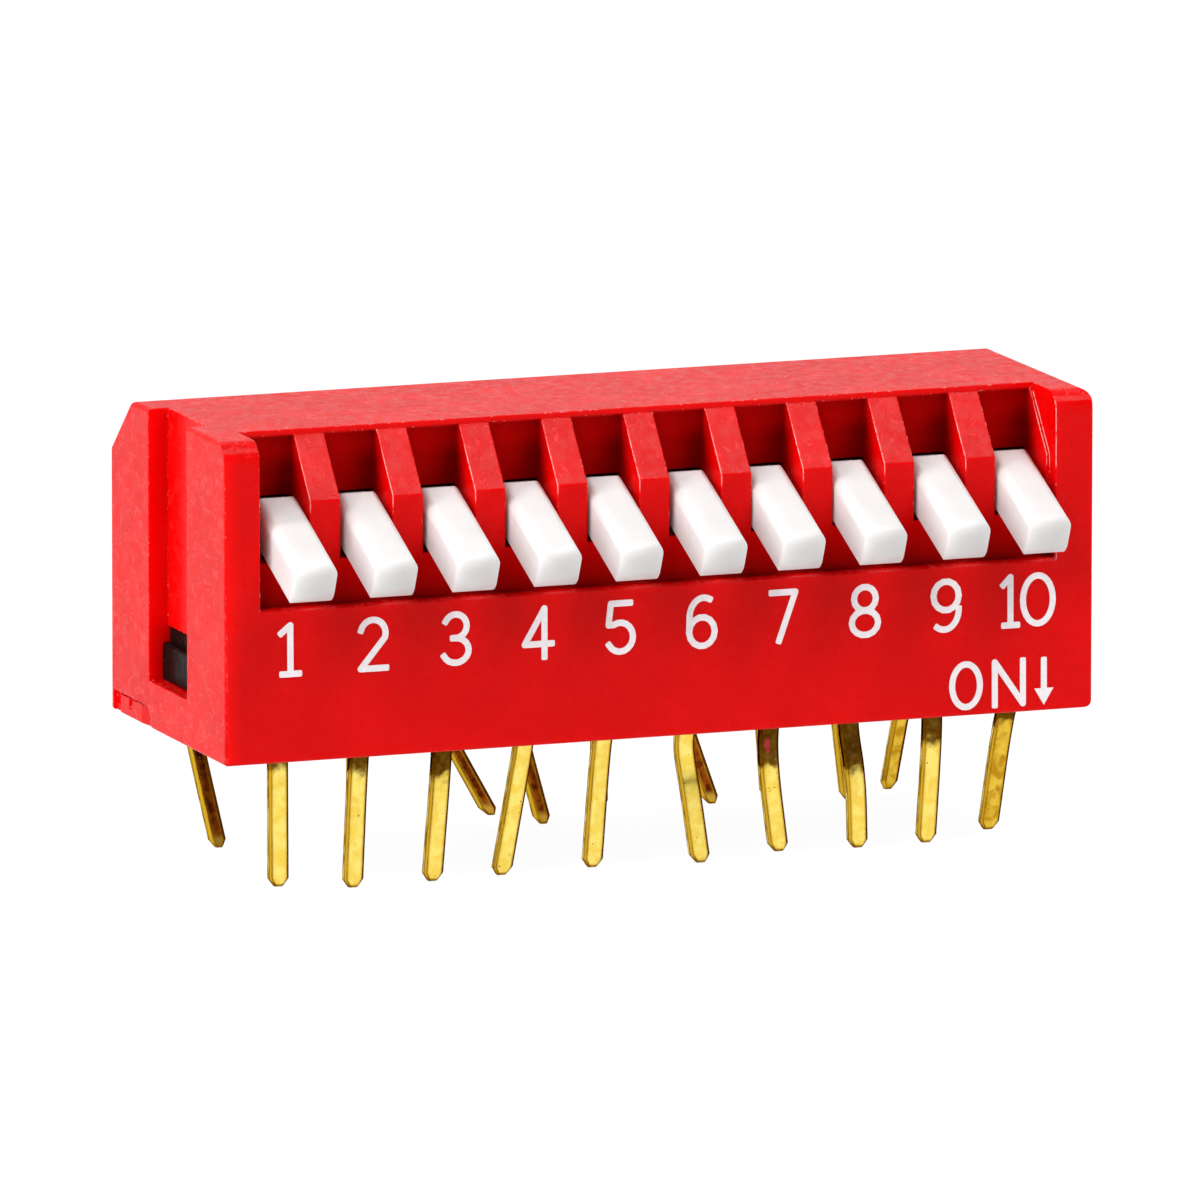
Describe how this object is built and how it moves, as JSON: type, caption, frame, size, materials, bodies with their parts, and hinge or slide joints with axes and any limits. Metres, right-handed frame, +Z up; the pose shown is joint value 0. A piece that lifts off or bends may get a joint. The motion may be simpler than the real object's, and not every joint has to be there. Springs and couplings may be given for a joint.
{
  "type": "dip switch",
  "caption": "Piano style dip switch: a box housing with a row of rocking levers along its front and rows of formed pins underneath.",
  "frame": {"origin": "on the seating plane under the cover, midway between the front and rear rows of pins and midway along the rows", "axes": "+X along the row, with position 1 at -X; the levers point to -Y; +Z up, away from the circuit board"},
  "size_m": [0.0269, 0.0118, 0.0134],
  "materials": {
    "red_plastic": "moulded, satin, with a fine orange-peel texture on the top and ends",
    "black_plastic": "moulded, glossy",
    "white_plastic": "moulded, smooth satin",
    "gold_plate": "gold plated copper alloy strip, polished, lightly pitted"
  },
  "bodies": {
    "housing": {"cover": "red_plastic", "base": "black_plastic", "front_terminal_01": "gold_plate", "front_terminal_02": "gold_plate", "front_terminal_03": "gold_plate", "front_terminal_04": "gold_plate", "front_terminal_05": "gold_plate", "front_terminal_06": "gold_plate", "front_terminal_07": "gold_plate", "front_terminal_08": "gold_plate", "front_terminal_09": "gold_plate", "front_terminal_10": "gold_plate", "rear_terminal_01": "gold_plate", "rear_terminal_02": "gold_plate", "rear_terminal_03": "gold_plate", "rear_terminal_04": "gold_plate", "rear_terminal_05": "gold_plate", "rear_terminal_06": "gold_plate", "rear_terminal_07": "gold_plate", "rear_terminal_08": "gold_plate", "rear_terminal_09": "gold_plate", "rear_terminal_10": "gold_plate"},
    "rocker_01": {"lever_01": "white_plastic", "wiper_01": "gold_plate"},
    "rocker_02": {"lever_02": "white_plastic", "wiper_02": "gold_plate"},
    "rocker_03": {"lever_03": "white_plastic", "wiper_03": "gold_plate"},
    "rocker_04": {"lever_04": "white_plastic", "wiper_04": "gold_plate"},
    "rocker_05": {"lever_05": "white_plastic", "wiper_05": "gold_plate"},
    "rocker_06": {"lever_06": "white_plastic", "wiper_06": "gold_plate"},
    "rocker_07": {"lever_07": "white_plastic", "wiper_07": "gold_plate"},
    "rocker_08": {"lever_08": "white_plastic", "wiper_08": "gold_plate"},
    "rocker_09": {"lever_09": "white_plastic", "wiper_09": "gold_plate"},
    "rocker_10": {"lever_10": "white_plastic", "wiper_10": "gold_plate"}
  },
  "joints": [
    {"name": "lever_01_turn", "type": "hinge", "parent": "housing", "child": "rocker_01", "pos_m": [-0.01143, -0.0025, 0.0065], "axis": [-1, 0, 0], "range_deg": [0, 30]},
    {"name": "lever_02_turn", "type": "hinge", "parent": "housing", "child": "rocker_02", "pos_m": [-0.00889, -0.0025, 0.0065], "axis": [-1, 0, 0], "range_deg": [0, 30]},
    {"name": "lever_03_turn", "type": "hinge", "parent": "housing", "child": "rocker_03", "pos_m": [-0.00635, -0.0025, 0.0065], "axis": [-1, 0, 0], "range_deg": [0, 30]},
    {"name": "lever_04_turn", "type": "hinge", "parent": "housing", "child": "rocker_04", "pos_m": [-0.00381, -0.0025, 0.0065], "axis": [-1, 0, 0], "range_deg": [0, 30]},
    {"name": "lever_05_turn", "type": "hinge", "parent": "housing", "child": "rocker_05", "pos_m": [-0.00127, -0.0025, 0.0065], "axis": [-1, 0, 0], "range_deg": [0, 30]},
    {"name": "lever_06_turn", "type": "hinge", "parent": "housing", "child": "rocker_06", "pos_m": [0.00127, -0.0025, 0.0065], "axis": [-1, 0, 0], "range_deg": [0, 30]},
    {"name": "lever_07_turn", "type": "hinge", "parent": "housing", "child": "rocker_07", "pos_m": [0.00381, -0.0025, 0.0065], "axis": [-1, 0, 0], "range_deg": [0, 30]},
    {"name": "lever_08_turn", "type": "hinge", "parent": "housing", "child": "rocker_08", "pos_m": [0.00635, -0.0025, 0.0065], "axis": [-1, 0, 0], "range_deg": [0, 30]},
    {"name": "lever_09_turn", "type": "hinge", "parent": "housing", "child": "rocker_09", "pos_m": [0.00889, -0.0025, 0.0065], "axis": [-1, 0, 0], "range_deg": [0, 30]},
    {"name": "lever_10_turn", "type": "hinge", "parent": "housing", "child": "rocker_10", "pos_m": [0.01143, -0.0025, 0.0065], "axis": [-1, 0, 0], "range_deg": [0, 30]}
  ]
}
